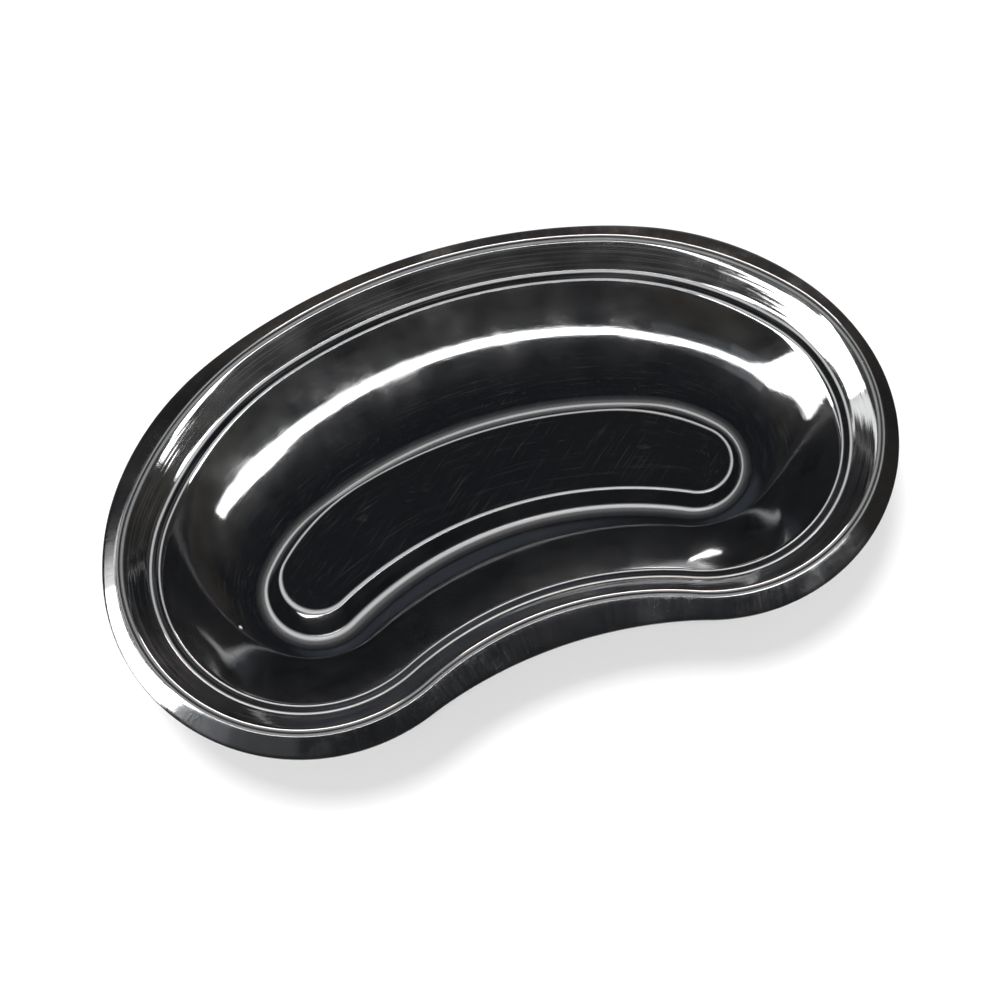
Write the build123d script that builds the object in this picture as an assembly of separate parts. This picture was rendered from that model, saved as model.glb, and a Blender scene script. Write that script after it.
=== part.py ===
"""Kidney dish: one seamless pressing of polished stainless steel sheet.

Millimetres, +Z up. The origin is on the surface that the dish stands on, under the
middle of its bounding box. The back of the dish is towards +Y, and the hollow of the
kidney is towards -Y.

Each outline of the pressing is a closed chain of tangent arcs, the same on both sides of
the plane X = 0: a back arc, a shoulder arc and an end arc that bulge outwards, and one
front arc that curves inwards. Four such outlines shape the dish:

    EDGE, where the flange is trimmed, straight down, after it is pressed,
    CREST, the top of the rim, with the flange, the inner wall and the step parallel to it,
    FOOT, round the inside of the flat ring that the dish stands on,
    TOP, round the flat top of the raised island in the middle of the floor.

Down the bowl, and up the island's shoulder, the outline changes evenly from the one to
the other. The foot and the island's top are stamped a little askew. The section is
described on the upper surface, from the flange inwards, and the underside lies one
thickness below it, square to the sheet.
"""

from build123d import *
from dataclasses import dataclass, replace
from math import asin, atan, cos, degrees, radians, sin, tan
import os

# Sheet and heights.
SHEET = 0.7                     # thickness of the steel
HEIGHT = 34.0                   # from the table up to the crest of the rim
ISLAND_RISE = 5.5               # from the foot ring up to the island

# Rim. Widths are horizontal, and slopes are measured from the horizontal.
CREST_INSET = 6.3               # from the edge in to the crest, at the middle of the back
FLANGE_REACH = 12.0             # how far out the flange is pressed, before it is trimmed
FLANGE_SLOPE = radians(38)
CREST_RADIUS = 1.8              # over the crest
WALL_SLOPE = radians(51)
WALL_WIDTH = 6.0                # the straight part of the rim's inner wall
STEP_SLOPE = radians(13)
STEP_WIDTH = 1.5                # the straight part of the step
STEP_RADIUS = 2.0               # in the corner between the wall and the step
LIP_RADIUS = 1.5                # where the step turns down into the bowl

# Bowl, foot and island.
FOOT_INSET = 50.7               # from the edge in to the foot, at the middle of the back
TOP_INSET = 56.7                # from the edge in to the island's top, at the same place
BOWL_POWER = 1.6                # how the bowl steepens: 1 would be a cone, 2 a parabola
FOOT_WIDTH = 2.0                # the flat ring
FOOT_RADIUS = 2.5               # in the corner between the ring and the shoulder
SHOULDER_SLOPE = radians(52)
ISLAND_RADIUS = 1.5             # over the island's edge

CORNER_STEPS = 3                # lines through each rounded corner
BOWL_STEPS = 7                  # lines down the bowl


@dataclass
class Outline:
    """A kidney outline: the radii of its arcs, the turns of two of them, and its place."""

    back: float
    shoulder: float
    end: float
    front: float
    back_turn: float
    shoulder_turn: float
    back_y: float = 0.0
    askew: float = 0.0
    aside: float = 0.0

    def centres(self):
        """The centres of the back, shoulder, end and front arcs, on the +X side."""
        end_from = self.back_turn + self.shoulder_turn
        back = (0.0, self.back_y - self.back)
        shoulder = moved(back, self.back - self.shoulder, self.back_turn)
        end = moved(shoulder, self.shoulder - self.end, end_from)
        front = moved(end, -(self.end + self.front), self.hollow(end))
        return back, shoulder, end, front

    def hollow(self, end_centre):
        """How far the front arc turns on each side of the middle."""
        return asin(end_centre[0] / (self.end + self.front))

    def front_y(self):
        """The foremost reach of the two lobes."""
        end_centre = self.centres()[2]
        return end_centre[1] - self.end

    def grown(self, by):
        """The parallel outline that lies outside this one by a distance."""
        return replace(
            self,
            back=self.back + by,
            shoulder=self.shoulder + by,
            end=self.end + by,
            front=self.front - by,
            back_y=self.back_y + by,
        )

    def towards(self, other, share):
        """The outline that has changed by a share of the way into another one."""
        mine, theirs = vars(self), vars(other)
        return Outline(**{k: mine[k] + share * (theirs[k] - mine[k]) for k in mine})

    def wire(self, z):
        """The closed outline at a height."""
        back, shoulder, end, front = self.centres()
        end_from = self.back_turn + self.shoulder_turn
        hollow = self.hollow(end)
        end_to = radians(180) + hollow
        straight_on = Wire([
            arc(back, self.back, -self.back_turn, self.back_turn, z),
            arc(shoulder, self.shoulder, self.back_turn, end_from, z),
            arc(end, self.end, end_from, end_to, z),
            arc(front, self.front, hollow, -hollow, z),
            arc(mirrored(end), self.end, -end_to, -end_from, z),
            arc(mirrored(shoulder), self.shoulder, -end_from, -self.back_turn, z),
        ])
        return Pos(self.aside, 0, 0) * Rot(0, 0, degrees(self.askew)) * straight_on


def moved(point, distance, bearing):
    """The point at a distance along a bearing, which turns from +Y towards +X."""
    return (point[0] + distance * sin(bearing), point[1] + distance * cos(bearing))


def mirrored(point):
    return (-point[0], point[1])


def arc(centre, radius, first, last, z):
    """An arc at a height, from one bearing of its centre to another."""
    return CenterArc((*centre, z), radius, 90 - degrees(first), degrees(first - last))


EDGE = Outline(197.4, 82.4, 61.7, 129.7, radians(22.1), radians(58.5))
CREST = Outline(178.6, 106.7, 55.8, 103.9, radians(18.2), radians(35.9))
FOOT = Outline(149.0, 45.4, 17.3, 119.4, radians(23.6), radians(29.3), askew=radians(0.6))
TOP = Outline(164.1, 68.5, 10.9, 130.0, radians(14.0), radians(30.5), askew=radians(-1.1), aside=1.4)
EDGE.back_y = -EDGE.front_y() / 2
CREST.back_y = EDGE.back_y - CREST_INSET
FOOT.back_y = EDGE.back_y - FOOT_INSET
TOP.back_y = EDGE.back_y - TOP_INSET


@dataclass
class Line:
    """A closed line on the upper surface. Its slope is positive where the sheet falls inwards."""

    outline: Outline
    z: float
    slope: float

    def upper(self):
        return self.outline.wire(self.z)

    def under(self):
        outline = self.outline.grown(SHEET * sin(self.slope))
        return outline.wire(self.z - SHEET * cos(self.slope))


def corner(start, radius, slope):
    """The lines of a rounded corner, which runs inwards from a line to a new slope."""
    bulge = radius if slope > start.slope else -radius
    lines = []
    for i in range(1, CORNER_STEPS + 1):
        at = start.slope + (slope - start.slope) * i / CORNER_STEPS
        inwards = bulge * (sin(at) - sin(start.slope))
        z = start.z + bulge * (cos(at) - cos(start.slope))
        lines.append(Line(start.outline.grown(-inwards), z, at))
    return lines


def straight(start, width):
    """The line further inwards from another one, along its slope."""
    return Line(start.outline.grown(-width), start.z - width * tan(start.slope), start.slope)


def rim(lip_slope):
    """From far out on the flange over the crest, down the wall and over the step's lip."""
    flange_top = CREST.grown(CREST_RADIUS * sin(FLANGE_SLOPE))
    flange_top_z = HEIGHT - CREST_RADIUS * (1 - cos(FLANGE_SLOPE))
    lines = [Line(flange_top, flange_top_z, -FLANGE_SLOPE)]
    lines.insert(0, straight(lines[0], -FLANGE_REACH))
    lines += corner(lines[-1], CREST_RADIUS, 0.0)
    lines += corner(lines[-1], CREST_RADIUS, WALL_SLOPE)
    lines.append(straight(lines[-1], WALL_WIDTH))
    lines += corner(lines[-1], STEP_RADIUS, STEP_SLOPE)
    lines.append(straight(lines[-1], STEP_WIDTH))
    lines += corner(lines[-1], LIP_RADIUS, lip_slope)
    return lines


def bowl_slope(width, depth, share):
    """The slope of the bowl's section at a share of its width from the foot."""
    return atan(BOWL_POWER * depth / width * share ** (BOWL_POWER - 1))


def bowl(lip, ring, width):
    """From the lip down a curve that runs level into the foot ring."""
    depth = lip.z - ring.z
    lines = []
    for i in range(1, BOWL_STEPS):
        share = 1 - i / BOWL_STEPS
        outline = ring.outline.towards(lip.outline, share)
        z = ring.z + depth * share ** BOWL_POWER
        lines.append(Line(outline, z, bowl_slope(width, depth, share)))
    return lines


def island(foot):
    """From the foot up the shoulder to the island's flat top."""
    rounding = (FOOT_RADIUS + ISLAND_RADIUS) * (1 - cos(SHOULDER_SLOPE))
    shoulder_width = (ISLAND_RISE - rounding) / tan(SHOULDER_SLOPE)
    lines = corner(foot, FOOT_RADIUS, -SHOULDER_SLOPE)
    lines.append(straight(lines[-1], shoulder_width))
    lines += corner(lines[-1], ISLAND_RADIUS, 0.0)
    across = foot.outline.back_y - lines[-1].outline.back_y
    shares = [(foot.outline.back_y - line.outline.back_y) / across for line in lines]
    return [replace(line, outline=FOOT.towards(TOP, share)) for line, share in zip(lines, shares)]


def outer_lines():
    """Every line from far out on the flange to the outside of the foot ring."""
    ring = Line(FOOT.grown(FOOT_WIDTH), SHEET, 0.0)
    flat_lip = rim(STEP_SLOPE)[-1]
    width = flat_lip.outline.back_y - ring.outline.back_y
    lip_slope = bowl_slope(width, flat_lip.z - ring.z, 1)
    rim_lines = rim(lip_slope)
    return rim_lines + bowl(rim_lines[-1], ring, width) + [ring]


def inner_lines():
    """Every line from the inside of the foot ring to the island's flat top."""
    foot = Line(FOOT, SHEET, 0.0)
    return [foot] + island(foot)


def skin(outer, inner):
    """One side of the sheet: the rim and bowl, the flat ring, the shoulder and the island."""
    ring = Face(outer[-1], [inner[0]])
    sides = Shell.make_loft(outer, ruled=True).faces() + Shell.make_loft(inner, ruled=True).faces()
    return sides + [ring, Face(inner[-1])]


def dish():
    """The pressing: its two skins, closed far out on the flange, and then trimmed."""
    outer, inner = outer_lines(), inner_lines()
    upper = skin([line.upper() for line in outer], [line.upper() for line in inner])
    under = skin([line.under() for line in outer], [line.under() for line in inner])
    rough_edge = Shell.make_loft([outer[0].upper(), outer[0].under()], ruled=True).faces()
    pressed = Solid(Shell(upper + under + rough_edge))
    punch = Solid.extrude(Face(EDGE.wire(0)), Vector(0, 0, 2 * HEIGHT))
    return pressed & punch


os.makedirs("parts", exist_ok=True)
pressing = dish()
pressing.label = "dish"
export_step(pressing, "parts/dish.step")
box = pressing.bounding_box()
print("size", box.size, "from", box.min, "volume", round(pressing.volume), "valid", pressing.is_valid)
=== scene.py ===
from dataclasses import dataclass, replace
from math import asin, atan, cos, pi, radians, sin, tan

import bpy
import numpy as np
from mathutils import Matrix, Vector


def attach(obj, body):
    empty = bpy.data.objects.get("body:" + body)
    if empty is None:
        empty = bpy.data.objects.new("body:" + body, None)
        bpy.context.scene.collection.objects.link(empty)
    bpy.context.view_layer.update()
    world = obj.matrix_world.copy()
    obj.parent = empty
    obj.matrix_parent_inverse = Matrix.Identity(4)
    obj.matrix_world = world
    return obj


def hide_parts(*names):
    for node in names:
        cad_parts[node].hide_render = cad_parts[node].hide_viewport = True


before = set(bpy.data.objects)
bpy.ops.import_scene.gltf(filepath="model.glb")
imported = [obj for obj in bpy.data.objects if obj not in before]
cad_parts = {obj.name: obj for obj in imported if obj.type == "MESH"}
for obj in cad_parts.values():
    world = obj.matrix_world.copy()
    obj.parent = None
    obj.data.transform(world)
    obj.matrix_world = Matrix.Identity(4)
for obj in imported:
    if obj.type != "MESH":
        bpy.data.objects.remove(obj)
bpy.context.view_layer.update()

MM = 0.001

# --- The pressing's section, in millimetres, as the part's own source gives it ----------------------
SHEET = 0.7                     # thickness of the steel
HEIGHT = 34.0                   # from the table up to the crest of the rim
ISLAND_RISE = 5.5               # from the foot ring up to the island
CREST_INSET = 6.3               # from the edge in to the crest, at the middle of the back
FLANGE_SLOPE = radians(38)
CREST_RADIUS = 1.8              # over the crest
WALL_SLOPE = radians(51)
WALL_WIDTH = 6.0                # the straight part of the rim's inner wall
STEP_SLOPE = radians(13)
STEP_WIDTH = 1.5                # the straight part of the step
STEP_RADIUS = 2.0               # in the corner between the wall and the step
LIP_RADIUS = 1.5                # where the step turns down into the bowl
FOOT_INSET = 50.7               # from the edge in to the foot, at the middle of the back
TOP_INSET = 56.7                # from the edge in to the island's top, at the same place
BOWL_POWER = 1.6                # how the bowl steepens: 1 would be a cone, 2 a parabola
FOOT_WIDTH = 2.0                # the flat ring
FOOT_RADIUS = 2.5               # in the corner between the ring and the shoulder
SHOULDER_SLOPE = radians(52)
ISLAND_RADIUS = 1.5             # over the island's edge

# The trimmed edge is broken all round, above and below. These are the radii.
UPPER_BREAK = 0.2
LOWER_BREAK = 0.12

# How finely the mesh follows the four arcs of half an outline, and how finely the edge is measured.
COLUMNS = (26, 34, 80, 30)
FINE_COLUMNS = (240, 300, 560, 240)
EDGE_GUESS = 5.0                # from the top of the flange out to the edge, to begin with
EDGE_TRIES = 5

# How many lines of the mesh follow each stretch of the section.
LOWER_BREAK_STEPS = 8
UPPER_BREAK_STEPS = 6
FLANGE_STEPS = 6
OUTER_CREST_STEPS = 8
INNER_CREST_STEPS = 10
WALL_STEPS = 6
STEP_STEPS = 2
BEND_STEPS = 9                  # below the wall, over the lip and over the island's edge
BOWL_STEPS = 30
BOWL_CROWDING = 1.2             # above 1, the bowl's lines crowd towards the foot
FOOT_STEPS = 11
SHOULDER_STEPS = 3
TOP_INSETS = (2.0, 5.0, 8.5)    # of the lines on the island's flat top, from its edge
TINY = 1e-9                     # keeps lengths on the mesh from being zero

# How far the metal is stretched over the middle of each bend, and at the outside, the middle and
# the inside of the foot ring.
STRETCH = {"crest": 0.45, "corner": 1.0, "lip": 1.0, "island": 1.0}
FOOT_STRETCH = (0.02, 0.05, 0.18)

# Two sets of the section's zones, which the steel's marks are kept to.
MARKED = {
    "drawn": ("flange", "crest", "wall", "corner", "step", "under"),
    "rim_flange": ("flange",),
}


def bearing(t):
    """The unit vectors along bearings, which turn from +Y towards +X."""
    t = np.asarray(t, float)
    return np.stack([np.sin(t), np.cos(t)], -1)


def both_halves(half):
    """The rows of half an outline, from the back to the front, and then those of its mirror image."""
    half = np.vstack(half)
    return np.vstack([half, (half[1:-1] * [-1, 1])[::-1]])


@dataclass
class Outline:
    """A kidney outline: the radii of its arcs, the turns of two of them, and its place."""

    back: float
    shoulder: float
    end: float
    front: float
    back_turn: float
    shoulder_turn: float
    back_y: float = 0.0
    askew: float = 0.0
    aside: float = 0.0

    def grown(self, by):
        """The parallel outline that lies outside this one by a distance."""
        return replace(
            self,
            back=self.back + by,
            shoulder=self.shoulder + by,
            end=self.end + by,
            front=self.front - by,
            back_y=self.back_y + by,
        )

    def towards(self, other, share):
        """The outline that has changed by a share of the way into another one."""
        mine, theirs = vars(self), vars(other)
        return Outline(**{k: mine[k] + share * (theirs[k] - mine[k]) for k in mine})

    def arcs(self):
        """The arcs of the +X half: centre, radius, first and last bearing, and which way is out."""
        end_from = self.back_turn + self.shoulder_turn
        back = np.array([0.0, self.back_y - self.back])
        shoulder = back + (self.back - self.shoulder) * bearing(self.back_turn)
        end = shoulder + (self.shoulder - self.end) * bearing(end_from)
        hollow = asin(end[0] / (self.end + self.front))
        front = end - (self.end + self.front) * bearing(hollow)
        return [
            (back, self.back, 0.0, self.back_turn, 1),
            (shoulder, self.shoulder, self.back_turn, end_from, 1),
            (end, self.end, end_from, pi + hollow, 1),
            (front, self.front, hollow, 0.0, -1),
        ]

    def front_y(self):
        """The foremost reach of the two lobes."""
        centre, radius = self.arcs()[2][:2]
        return centre[1] - radius

    def traced(self, columns):
        """Points clockwise from the middle of the back, and their outward directions."""
        points, outward = [], []
        for (centre, radius, first, last, way), n in zip(self.arcs(), columns):
            out = bearing(np.linspace(first, last, n, endpoint=False))
            points.append(centre + radius * out)
            outward.append(way * out)
        # The front arc, which comes last, ends in the middle of the front.
        points.append(centre + radius * bearing([0.0]))
        outward.append(-bearing([0.0]))
        turn = np.array([[cos(self.askew), sin(self.askew)], [-sin(self.askew), cos(self.askew)]])
        return both_halves(points) @ turn + [self.aside, 0.0], both_halves(outward) @ turn

    def at_height(self, z):
        """The mesh's points on the outline at a height."""
        flat = self.traced(COLUMNS)[0]
        return np.column_stack([flat, np.full(len(flat), z)])


EDGE = Outline(197.4, 82.4, 61.7, 129.7, radians(22.1), radians(58.5))
CREST = Outline(178.6, 106.7, 55.8, 103.9, radians(18.2), radians(35.9))
FOOT = Outline(149.0, 45.4, 17.3, 119.4, radians(23.6), radians(29.3), askew=radians(0.6))
TOP = Outline(164.1, 68.5, 10.9, 130.0, radians(14.0), radians(30.5), askew=radians(-1.1), aside=1.4)
EDGE.back_y = -EDGE.front_y() / 2
CREST.back_y = EDGE.back_y - CREST_INSET
FOOT.back_y = EDGE.back_y - FOOT_INSET
TOP.back_y = EDGE.back_y - TOP_INSET


@dataclass
class Line:
    """A closed line on the upper surface. Its slope is positive where the sheet falls inwards."""

    outline: Outline
    z: float
    slope: float
    zone: str
    stretch: float = 0.0

    def upper(self):
        """The line's points on the upper surface."""
        return self.outline.at_height(self.z)

    def under(self):
        """The points one thickness below them, square to the sheet."""
        outline = self.outline.grown(SHEET * sin(self.slope))
        return outline.at_height(self.z - SHEET * cos(self.slope))


def corner(start, radius, slope, steps, zone):
    """The lines of a rounded corner, which runs inwards from a line to a new slope."""
    bulge = radius if slope > start.slope else -radius
    lines = []
    for i in range(1, steps + 1):
        at = start.slope + (slope - start.slope) * i / steps
        outline = start.outline.grown(-bulge * (sin(at) - sin(start.slope)))
        z = start.z + bulge * (cos(at) - cos(start.slope))
        stretch = max(STRETCH[zone] * sin(pi * i / steps) ** 2, start.stretch * (1 - i / steps))
        lines.append(Line(outline, z, at, zone, stretch))
    return lines


def straight(start, width, steps, zone):
    """The lines further inwards from another one, along its slope."""
    lines = []
    for i in range(1, steps + 1):
        inwards = width * i / steps
        outline = start.outline.grown(-inwards)
        lines.append(Line(outline, start.z - inwards * tan(start.slope), start.slope, zone))
    return lines


def rim(lip_slope):
    """From the top of the flange over the crest, down the wall and over the step's lip."""
    flange_top = CREST.grown(CREST_RADIUS * sin(FLANGE_SLOPE))
    flange_top_z = HEIGHT - CREST_RADIUS * (1 - cos(FLANGE_SLOPE))
    lines = [Line(flange_top, flange_top_z, -FLANGE_SLOPE, "flange")]
    lines += corner(lines[-1], CREST_RADIUS, 0.0, OUTER_CREST_STEPS, "crest")
    lines += corner(lines[-1], CREST_RADIUS, WALL_SLOPE, INNER_CREST_STEPS, "crest")
    lines += straight(lines[-1], WALL_WIDTH, WALL_STEPS, "wall")
    lines += corner(lines[-1], STEP_RADIUS, STEP_SLOPE, BEND_STEPS, "corner")
    lines += straight(lines[-1], STEP_WIDTH, STEP_STEPS, "step")
    lines += corner(lines[-1], LIP_RADIUS, lip_slope, BEND_STEPS, "lip")
    return lines


def bowl_slope(width, depth, share):
    """The slope of the bowl's section at a share of its width from the foot."""
    return atan(BOWL_POWER * depth / width * share ** (BOWL_POWER - 1))


def bowl(lip, ring, width):
    """From the lip down a curve that runs level into the foot ring."""
    depth = lip.z - ring.z
    lines = []
    for i in range(1, BOWL_STEPS):
        share = (1 - i / BOWL_STEPS) ** BOWL_CROWDING
        outline = ring.outline.towards(lip.outline, share)
        z = ring.z + depth * share ** BOWL_POWER
        lines.append(Line(outline, z, bowl_slope(width, depth, share), "bowl"))
    return lines


def foot_ring():
    """The outside, the middle and the inside of the flat ring that the dish stands on."""
    shares = zip((1, 0.5, 0), FOOT_STRETCH)
    return [Line(FOOT.grown(FOOT_WIDTH * share), SHEET, 0.0, "bowl", stretch) for share, stretch in shares]


def island(foot):
    """From the foot up the shoulder to the island's flat top, and some way in over it."""
    rounding = (FOOT_RADIUS + ISLAND_RADIUS) * (1 - cos(SHOULDER_SLOPE))
    shoulder_width = (ISLAND_RISE - rounding) / tan(SHOULDER_SLOPE)
    lines = corner(foot, FOOT_RADIUS, -SHOULDER_SLOPE, FOOT_STEPS, "island")
    lines += straight(lines[-1], shoulder_width, SHOULDER_STEPS, "shoulder")
    lines += corner(lines[-1], ISLAND_RADIUS, 0.0, BEND_STEPS, "island")
    across = foot.outline.back_y - lines[-1].outline.back_y
    for line in lines:
        share = (foot.outline.back_y - line.outline.back_y) / across
        line.outline = FOOT.towards(TOP, share)
    for inwards in TOP_INSETS:
        lines.append(Line(TOP.grown(-inwards), lines[-1].z, 0.0, "top"))
    return lines


def section():
    """The lines of the upper surface, from the flange's top inwards."""
    ring = foot_ring()
    flat_lip = rim(STEP_SLOPE)[-1]
    width = flat_lip.outline.back_y - ring[0].outline.back_y
    lines = rim(bowl_slope(width, flat_lip.z - SHEET, 1))
    lines += bowl(lines[-1], ring[0], width)
    return lines + ring + island(ring[-1])


def reach(points, outward):
    """How far it is along outward directions to the outline where the flange is trimmed."""
    edge, out = EDGE.traced(FINE_COLUMNS)
    far = np.full(len(points), EDGE_GUESS)
    for _ in range(EDGE_TRIES):
        at = points + outward * far[:, None]
        near = np.argmin(((at[:, None] - edge[None]) ** 2).sum(2), axis=1)
        far -= ((at - edge[near]) * out[near]).sum(1)
    return far


def flange(top):
    """Rings from the flange's top out to its trimmed edge, round the edge and back underneath."""
    start, outward = top.outline.traced(COLUMNS)
    far = reach(start, outward)
    thickness = SHEET / cos(FLANGE_SLOPE)

    def ring(distance, drop):
        """At a distance outwards, and a drop below the flange's upper surface as it runs on."""
        flat = start + outward * distance[:, None]
        return np.column_stack([flat, top.z - distance * tan(FLANGE_SLOPE) - drop])

    def rounded(radius, centre_drop, first, last, steps):
        """Over one break of the edge, from one tilt to another, round a centre below the surface."""
        rings = []
        for tilt in np.linspace(first, last, steps):
            distance = far - radius + radius * sin(tilt)
            drop = centre_drop - radius * cos(tilt) - (distance - far + radius) * tan(FLANGE_SLOPE)
            rings.append(ring(distance, drop))
        return rings

    upper_drop = UPPER_BREAK / cos(FLANGE_SLOPE)
    lower_drop = thickness - LOWER_BREAK / cos(FLANGE_SLOPE)
    out = [ring((far - UPPER_BREAK) * i / FLANGE_STEPS, 0.0) for i in range(1, FLANGE_STEPS)]
    over = rounded(UPPER_BREAK, upper_drop, FLANGE_SLOPE, pi / 2, UPPER_BREAK_STEPS)
    below = rounded(LOWER_BREAK, lower_drop, pi / 2, pi + FLANGE_SLOPE, LOWER_BREAK_STEPS)
    steps_back = range(FLANGE_STEPS - 1, 0, -1)
    back = [ring((far - LOWER_BREAK) * i / FLANGE_STEPS, thickness) for i in steps_back]
    return out + over + below + back


def normals_of(rings):
    """Each point's normal, from the rings and columns next to it, weighed by their distances."""
    round_it = np.roll(rings, -1, 1) - np.roll(rings, 1, 1)
    step = np.diff(rings, axis=0)
    length = np.linalg.norm(step, axis=2, keepdims=True) + TINY
    slope = step / length
    down = np.empty_like(rings)
    down[1:-1] = (slope[:-1] * length[1:] + slope[1:] * length[:-1]) / (length[1:] + length[:-1])
    down[0], down[-1] = slope[0], slope[-1]
    normals = np.cross(round_it, down)
    return normals / np.linalg.norm(normals, axis=2, keepdims=True)


def closed_mesh(name, rings):
    """A smooth mesh over rings of points, with a face across the first ring and across the last."""
    count, n = rings.shape[:2]
    faces = []
    for r in range(count - 1):
        for i in range(n):
            j = (i + 1) % n
            faces.append((r * n + i, r * n + j, (r + 1) * n + j, (r + 1) * n + i))
    faces.append(tuple(range(n))[::-1])
    faces.append(tuple(range((count - 1) * n, count * n)))
    mesh = bpy.data.meshes.new(name)
    mesh.from_pydata((rings.reshape(-1, 3) * MM).tolist(), [], faces)
    mesh.update()
    for polygon in mesh.polygons:
        polygon.use_smooth = True
    mesh.normals_split_custom_set_from_vertices(normals_of(rings).reshape(-1, 3).tolist())
    return mesh


def grain_of(rings, crest):
    """Where each point lies round the rim, in x and y, and along the section, in z."""
    lengths = np.linalg.norm(np.roll(crest, -1, 0) - crest, axis=1)
    turn = 2 * pi * np.concatenate([[0.0], np.cumsum(lengths)[:-1]]) / lengths.sum()
    radius = lengths.sum() / (2 * pi)
    steps = np.linalg.norm(np.diff(rings, axis=0), axis=2).mean(1)
    grain = np.empty(rings.shape)
    grain[..., 0] = radius * np.cos(turn)
    grain[..., 1] = radius * np.sin(turn)
    grain[..., 2] = np.concatenate([[0.0], np.cumsum(steps)])[:, None]
    return grain


def add_object(name, data):
    """A new object in the scene."""
    ob = bpy.data.objects.new(name, data)
    bpy.context.scene.collection.objects.link(ob)
    return ob


def build_dish():
    """One closed mesh: from the island's top out over the rim, round the edge and back underneath."""
    lines = section()
    inner_first = lines[::-1]
    flanks = flange(lines[0])
    rings = np.array([line.upper() for line in inner_first] + flanks + [line.under() for line in lines])
    mesh = closed_mesh("dish_pressing", rings)

    # The steel's marks follow the pressing, so the mesh says where each point lies on it.
    grain = grain_of(rings, lines[0].upper()[:, :2]).reshape(-1) * MM
    mesh.attributes.new("grain", "FLOAT_VECTOR", "POINT").data.foreach_set("vector", grain)
    zones = [line.zone for line in inner_first] + ["flange"] * len(flanks) + ["under"] * len(lines)
    values = {name: [1.0 if zone in wanted else 0.0 for zone in zones] for name, wanted in MARKED.items()}
    values["stretch"] = [line.stretch for line in inner_first] + [0.0] * (len(flanks) + len(lines))
    for name, value in values.items():
        each_point = np.repeat(value, rings.shape[1])
        mesh.attributes.new(name, "FLOAT", "POINT").data.foreach_set("value", each_point)
    return add_object("dish_pressing", mesh)


# --- The steel --------------------------------------------------------------------------------------
EVEN = (1.0, 1.0, 1.0)
MIX_FACTOR, MIX_A, MIX_B, MIX_RESULT = 0, 6, 7, 2      # sockets of a Mix node, for colours


class Nodes:
    """A short way to add and join shader nodes."""

    def __init__(self, owner):
        """The nodes of a material or a world."""
        owner.use_nodes = True
        self.tree = owner.node_tree

    def fill(self, node, inputs):
        """Joins a node's inputs to other sockets, or sets them to plain values."""
        for key, value in inputs.items():
            if isinstance(value, bpy.types.NodeSocket):
                self.tree.links.new(value, node.inputs[key])
            else:
                node.inputs[key].default_value = value

    def add(self, kind, inputs=(), **settings):
        """A new node."""
        node = self.tree.nodes.new(kind)
        for key, value in settings.items():
            setattr(node, key, value)
        self.fill(node, dict(inputs))
        return node

    def attribute(self, name, output):
        """A value that the mesh holds at each point."""
        return self.add("ShaderNodeAttribute", attribute_name=name).outputs[output]

    def noise(self, place, scale, stretch=EVEN, detail=2.0, roughness=0.5, rotation=(0.0, 0.0, 0.0)):
        """Noise that is fine along the axes with a high stretch and long along the others."""
        place = self.add("ShaderNodeMapping", {"Vector": place, "Rotation": rotation}).outputs[0]
        place = self.add("ShaderNodeMapping", {"Vector": place, "Scale": stretch}).outputs[0]
        inputs = {"Vector": place, "Scale": scale, "Detail": detail, "Roughness": roughness}
        return self.add("ShaderNodeTexNoise", inputs).outputs[0]

    def maths(self, operation, a, b):
        """A sum, difference or product of two values."""
        return self.add("ShaderNodeMath", {0: a, 1: b}, operation=operation).outputs[0]

    def ranged(self, value, window, to=(0.0, 1.0), smooth=False):
        """A value that goes from one amount to another as the given value crosses a window."""
        inputs = {"Value": value, "From Min": window[0], "From Max": window[1]}
        inputs |= {"To Min": to[0], "To Max": to[1]}
        kind = "SMOOTHSTEP" if smooth else "LINEAR"
        return self.add("ShaderNodeMapRange", inputs, interpolation_type=kind).outputs[0]

    def mixed(self, share, a, b):
        """A mix of two colours, by the share of the second."""
        inputs = {MIX_FACTOR: share, MIX_A: a, MIX_B: b}
        return self.add("ShaderNodeMix", inputs, data_type="RGBA").outputs[MIX_RESULT]

    def bump(self, height, strength, distance, below=None):
        """Relief, on top of the relief that is already there."""
        inputs = {"Height": height, "Strength": strength, "Distance": distance}
        if below is not None:
            inputs["Normal"] = below
        return self.add("ShaderNodeBump", inputs).outputs[0]


# Noise in the steel, with scales per metre. On the grain, a small stretch in x and y makes marks
# that run round the rim, and a small stretch in z makes marks that run down the section.
DRAW_MARKS = {"stretch": (1.0, 1.0, 0.05), "scale": 2600.0, "detail": 3.0, "roughness": 0.7}
BUFFING_MARKS = {"stretch": (0.02, 0.02, 1.0), "scale": 2200.0, "detail": 3.0, "roughness": 0.7}
RIPPLES = {"stretch": (0.04, 0.04, 1.0), "scale": 900.0, "detail": 1.0}
ACROSS = {"stretch": (1.0, 0.02, 1.0), "scale": 2400.0, "detail": 3.0, "roughness": 0.65}
ACROSS_TURN = (0.0, 0.0, radians(52))
WAVES = {"scale": 40.0, "detail": 1.0}
SCUFFS = {"scale": 60.0, "detail": 4.0, "roughness": 0.6}
STREAKS = {"stretch": (1.0, 1.0, 0.04), "scale": 1500.0, "detail": 3.0}
RINGS = {"stretch": (0.012, 0.012, 1.0), "scale": 1900.0, "detail": 1.0}
TONES = {"scale": 30.0, "detail": 3.0}

# The windows of each noise over which its marks come to show.
SCUFFS_SHOW = (0.5, 0.68)
WEAR_SHOWS = (0.45, 0.75)
STREAKS_SHOW = (0.3, 0.7)
SCRATCHES_SHOW = (0.6, 0.72)
MARKS_SHOW = (0.58, 0.72)
RINGS_SHOW = (0.52, 0.68)
HAZE_SHOWS = (0.35, 0.65)

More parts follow.
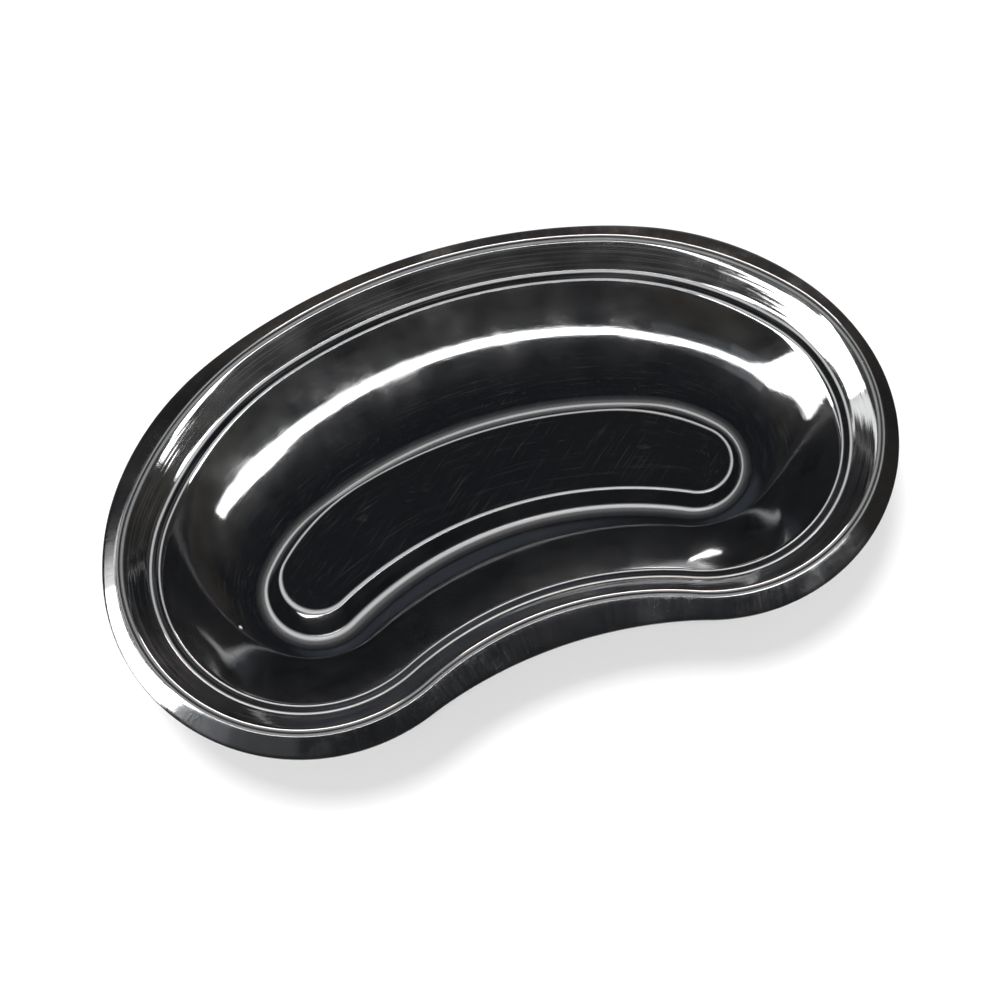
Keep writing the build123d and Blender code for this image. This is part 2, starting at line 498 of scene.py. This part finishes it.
# Relief: heights, and how much of its height a mark gets.
WAVE_HEIGHT = 0.012 * MM
MARK_HEIGHT = 0.02 * MM
FULL_RELIEF = 1.0
DRAW_RELIEF = 0.3
BUFFING_RELIEF = 0.2

# Roughness: of clean steel, and what wear, scuffs, the flange's streaks and stretching add.
CLEAN = 0.035
WORN = 0.04
SCUFFED = 0.05
SATIN = (0.035, 0.085)
STRETCHED = 0.16

# How far scratches, stretched metal and the rings round the rim are matt.
SCRATCH_MATT = 0.03
STRETCH_MATT = 0.8
RING_MATT = 0.07

# Fine buffing marks throw a faint haze round bright reflections. It is uneven, and fainter on the flange.
HAZE = (0.1, 0.5)
FLANGE_HAZE = 0.4
HAZE_ROUGHNESS = 0.3
HAZE_IOR = 2.2

COOL_STEEL = (0.58, 0.585, 0.60, 1)
WARM_STEEL = (0.66, 0.655, 0.65, 1)


def steel():
    """Buffed stainless steel, with the marks of its pressing."""
    material = bpy.data.materials.new("polished_steel")
    nodes = Nodes(material)
    grain = nodes.attribute("grain", "Vector")
    place = nodes.add("ShaderNodeTexCoord").outputs["Object"]
    drawn = nodes.attribute("drawn", "Fac")
    on_flange = nodes.attribute("rim_flange", "Fac")
    stretch = nodes.attribute("stretch", "Fac")
    inside = nodes.maths("SUBTRACT", 1.0, drawn)
    rim_only = nodes.maths("SUBTRACT", drawn, on_flange)

    # Draw marks run down the rim, and buffing marks run round the bowl and the island. Ripples run
    # round the rim, and fine scratches run straight across the whole dish.
    marks = nodes.noise(grain, **DRAW_MARKS)
    buffing = nodes.noise(grain, **BUFFING_MARKS)
    ripples = nodes.noise(grain, **RIPPLES)
    across = nodes.noise(place, rotation=ACROSS_TURN, **ACROSS)
    normal = nodes.bump(nodes.noise(place, **WAVES), FULL_RELIEF, WAVE_HEIGHT)
    normal = nodes.bump(nodes.maths("MULTIPLY", ripples, rim_only), FULL_RELIEF, WAVE_HEIGHT, normal)
    normal = nodes.bump(nodes.maths("MULTIPLY", marks, drawn), DRAW_RELIEF, MARK_HEIGHT, normal)
    normal = nodes.bump(nodes.maths("MULTIPLY", buffing, inside), BUFFING_RELIEF, MARK_HEIGHT, normal)

    # The flange keeps more of its mill finish than the bowl, which is buffed bright.
    scuffs = nodes.noise(place, **SCUFFS)
    scuffed = nodes.ranged(scuffs, SCUFFS_SHOW, (0.0, SCUFFED), smooth=True)
    worn = nodes.maths("ADD", nodes.ranged(across, WEAR_SHOWS, (0.0, WORN)), scuffed)
    streaks = nodes.ranged(nodes.noise(grain, **STREAKS), STREAKS_SHOW, SATIN)
    satin = nodes.maths("MULTIPLY", on_flange, streaks)
    stretched = nodes.maths("MULTIPLY", stretch, STRETCHED)
    roughness = nodes.maths("ADD", CLEAN, worn)
    roughness = nodes.maths("ADD", roughness, nodes.maths("ADD", satin, stretched))

    # Stretched metal is matt, and so, faintly, are scratches, other marks and rings round the rim.
    scratches = nodes.ranged(across, SCRATCHES_SHOW)
    for noise, where in ((buffing, inside), (marks, drawn)):
        shown = nodes.maths("MULTIPLY", where, nodes.ranged(noise, MARKS_SHOW))
        scratches = nodes.maths("ADD", scratches, shown)
    matt = nodes.maths("MULTIPLY", scratches, SCRATCH_MATT)
    matt = nodes.maths("ADD", matt, nodes.maths("MULTIPLY", stretch, STRETCH_MATT))
    rings = nodes.ranged(nodes.noise(grain, **RINGS), RINGS_SHOW, (0.0, RING_MATT))
    matt = nodes.maths("ADD", matt, nodes.maths("MULTIPLY", rim_only, rings))

    haze = nodes.ranged(scuffs, HAZE_SHOWS, HAZE)
    haze = nodes.maths("MULTIPLY", haze, nodes.ranged(on_flange, (0.0, 1.0), (1.0, FLANGE_HAZE)))
    colour = nodes.mixed(nodes.noise(place, **TONES), COOL_STEEL, WARM_STEEL)
    nodes.fill(nodes.tree.nodes["Principled BSDF"], {
        "Base Color": colour,
        "Metallic": nodes.maths("SUBTRACT", 1.0, matt),
        "Roughness": roughness,
        "Normal": normal,
        "Coat Weight": haze,
        "Coat Roughness": HAZE_ROUGHNESS,
        "Coat IOR": HAZE_IOR,
    })
    return material


dish = build_dish()
dish.data.materials.append(steel())
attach(dish, "root")
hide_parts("dish")

# --- The camera -------------------------------------------------------------------------------------
ELEVATION = radians(69)
TURN = radians(19.35)
DISTANCE = 526.3 * MM
AIM = np.array([-3.28, EDGE.back_y - 90.72, HEIGHT]) * MM
LENS = 62.53
SENSOR = 36.0
CLIP_START = 0.01


def turned(v):
    """A direction given in the camera's own right, back and up, in the dish's frame."""
    x, y, z = v
    return np.array([cos(TURN) * x + sin(TURN) * y, -sin(TURN) * x + cos(TURN) * y, z])


def facing(towards):
    """The rotation of a camera or a lamp that looks back from a direction."""
    return Vector(-np.array(towards)).to_track_quat("-Z", "Y").to_euler()


TO_CAMERA = turned((0, -cos(ELEVATION), sin(ELEVATION)))
camera = add_object("camera", bpy.data.cameras.new("camera"))
camera.location = AIM + TO_CAMERA * DISTANCE
camera.rotation_euler = facing(TO_CAMERA)
camera.data.lens = LENS
camera.data.sensor_width = SENSOR
camera.data.clip_start = CLIP_START
bpy.context.scene.camera = camera

# --- The floor --------------------------------------------------------------------------------------
FLOOR_REACH = 12.0
FLOOR_COLOUR = (0.9, 0.9, 0.9, 1)
floor_mesh = bpy.data.meshes.new("floor")
corners = [(x * FLOOR_REACH, y * FLOOR_REACH, 0.0) for x, y in ((-1, -1), (1, -1), (1, 1), (-1, 1))]
floor_mesh.from_pydata(corners, [], [(0, 1, 2, 3)])
floor_paint = bpy.data.materials.new("floor")
paint = Nodes(floor_paint)
chalky = {"Base Color": FLOOR_COLOUR, "Roughness": 1.0, "Specular IOR Level": 0.0}
paint.fill(paint.tree.nodes["Principled BSDF"], chalky)
floor_mesh.materials.append(floor_paint)
floor = add_object("floor", floor_mesh)
floor.visible_glossy = False

# --- The light: a dark studio with a few bright cards, and an even light on the floor ---------------
# A grey room lights the floor from all round, and the camera sees a white backdrop past it.
ROOM = (0.2, 0.2, 0.2, 1)
BACKDROP = (1.0, 1.0, 1.0, 1)

# The steel mirrors a dark studio, warmer and lighter near the horizon, with a cool sheen above the
# back and a pale table far below. Heights are sines of the elevation.
DARK = (0.010, 0.0115, 0.0145, 1)
HORIZON = (0.028, 0.026, 0.023, 1)
HORIZON_HEIGHTS = (0.0, 0.5)
HORIZON_SHARES = (1.0, 0.15)
CLUTTER = {"stretch": (1.0, 1.0, 2.0), "scale": 2.2}
CLUTTER_SHOWS = (0.38, 0.62)
CLUTTER_SHARES = (0.2, 1.4)
SHEEN = (0.04, 0.045, 0.055, 1)
SHEEN_TOWARDS = (-0.3, 0.76, 0.57)
SHEEN_FADES = (0.9, 0.995)      # cosines of angles from its middle
TABLE = (0.42, 0.42, 0.43, 1)
TABLE_SHADE = (0.12, 0.12, 0.13, 1)
SHADE_SHOWS = (0.35, 0.65)
TABLE_HEIGHTS = (-0.6, -0.3)

world = bpy.data.worlds.new("studio")
bpy.context.scene.world = world
studio = Nodes(world)
ray = studio.add("ShaderNodeLightPath")
away = studio.add("ShaderNodeTexCoord").outputs["Generated"]
up = studio.add("ShaderNodeSeparateXYZ", {0: away}).outputs[2]
clutter = studio.noise(away, **CLUTTER)
low = studio.ranged(up, HORIZON_HEIGHTS, HORIZON_SHARES)
low = studio.maths("MULTIPLY", low, studio.ranged(clutter, CLUTTER_SHOWS, CLUTTER_SHARES))
dim = studio.mixed(low, DARK, HORIZON)
towards = {0: away, 1: turned(SHEEN_TOWARDS)}
sheen = studio.add("ShaderNodeVectorMath", towards, operation="DOT_PRODUCT").outputs["Value"]
dim = studio.mixed(studio.ranged(sheen, SHEEN_FADES, smooth=True), dim, SHEEN)
table = studio.mixed(studio.ranged(clutter, SHADE_SHOWS), TABLE, TABLE_SHADE)
dim = studio.mixed(studio.ranged(up, TABLE_HEIGHTS, (1.0, 0.0)), dim, table)
lit = studio.mixed(ray.outputs["Is Camera Ray"], ROOM, BACKDROP)
lit = studio.mixed(ray.outputs["Is Glossy Ray"], lit, dim)
studio.fill(studio.tree.nodes["Background"], {"Color": lit})

# The cards hang round the dish, at distances in metres from the bowl. Their azimuths turn from the
# camera's right towards the back, and their zeniths from straight up, in degrees.
FAR = 6.0
NEAR = 0.45
NEAREST = 0.3
BOWL_REACH = (0.08, 0.045, 0.01)
CARD_STEPS = 64
ROUNDING = np.linspace(-5, 5, 11)    # azimuths over which an edge is averaged, so it has no corners
WHITE = (1.0, 1.0, 1.0)
WARM = (1.0, 0.9, 0.84)
COOL = (0.86, 0.93, 1.0)


def direction(azimuth, zenith):
    """The unit vector towards an azimuth and a zenith."""
    a, z = radians(azimuth), radians(zenith)
    return turned((sin(z) * cos(a), sin(z) * sin(a), cos(z)))


def opposite(azimuth):
    """The place in the bowl that faces an azimuth."""
    x, y, z = BOWL_REACH
    a = radians(azimuth)
    return turned((-x * cos(a), -y * sin(a), z))


def card(name, inner, outer, strength, distances=((0, FAR), (360, FAR)), colour=WHITE):
    """A glowing card between two edges, each a list of (azimuth, zenith) corners seen from the bowl."""
    points = []
    for corners in (inner, outer):
        azimuths, zeniths = zip(*corners)
        for azimuth in np.linspace(azimuths[0], azimuths[-1], CARD_STEPS):
            distance = np.interp(azimuth, *zip(*distances))
            zenith = np.interp(azimuth + ROUNDING, azimuths, zeniths).mean()
            points.append(tuple(opposite(azimuth) + direction(azimuth, zenith) * distance))
    n = CARD_STEPS
    mesh = bpy.data.meshes.new(name)
    mesh.from_pydata(points, [], [(i, i + 1, n + i + 1, n + i) for i in range(n - 1)])
    glow = bpy.data.materials.new(name)
    nodes = Nodes(glow)
    nodes.tree.nodes.clear()
    emission = nodes.add("ShaderNodeEmission", {"Color": (*colour, 1), "Strength": strength})
    nodes.add("ShaderNodeOutputMaterial", {"Surface": emission.outputs[0]})
    mesh.materials.append(glow)
    ob = add_object(name, mesh)
    ob.visible_camera = False
    ob.visible_diffuse = False
    ob.visible_shadow = False


card("panel_left",
     [(172, 84), (191, 78.5), (206, 71), (210, 70)],
     [(172, 88), (190, 86), (207, 82.5), (210, 81)],
     strength=5.0)
card("strip_front",
     [(210, 70), (218, 68.5), (232, 67.2), (245, 64.8), (253, 63.3), (270, 59.6), (285, 58.3), (298, 58.8),
      (324, 62), (341, 72), (346, 75.5)],
     [(210, 80.5), (218, 73.5), (232, 69.0), (251, 65.3), (270, 61.6), (287, 60.1), (302, 61.6), (316, 64.2),
      (329, 71), (341, 76), (346, 78)],
     strength=6.0,
     distances=[(210, NEAR), (240, NEAREST), (346, NEAREST)])
card("pale_left", [(210, 66), (236, 62)], [(210, 77), (236, 73)], strength=0.13, colour=COOL)
card("pale_front", [(236, 62), (262, 58)], [(236, 73), (262, 67)], strength=0.06, colour=COOL)
card("left_low", [(138, 86.5), (172, 84)], [(138, 90), (172, 88)], strength=1.2)
card("back_low", [(50, 79), (118, 79)], [(50, 90), (118, 90)], strength=7.0, colour=WARM)

# The floor's light comes from high at the back left, and from the camera's side, where the dish
# hides the shadow.
KEY_TOWARDS = turned((-0.38, 0.45, 1.65))
KEY_WIDTH = radians(20)
KEY_STRENGTH = 1.5
FILL_WIDTH = radians(14)
FILL_STRENGTH = 2.15


def floor_lamp(name, towards, width, strength):
    """An even light on the floor from one side, which isn't mirrored in the steel."""
    lamp = add_object(name, bpy.data.lights.new(name, "SUN"))
    lamp.data.angle = width
    lamp.data.energy = strength
    lamp.location = towards
    lamp.rotation_euler = facing(towards)
    lamp.visible_glossy = False


floor_lamp("key", KEY_TOWARDS, KEY_WIDTH, KEY_STRENGTH)
floor_lamp("fill", TO_CAMERA, FILL_WIDTH, FILL_STRENGTH)

bpy.context.scene.view_settings.view_transform = "Standard"
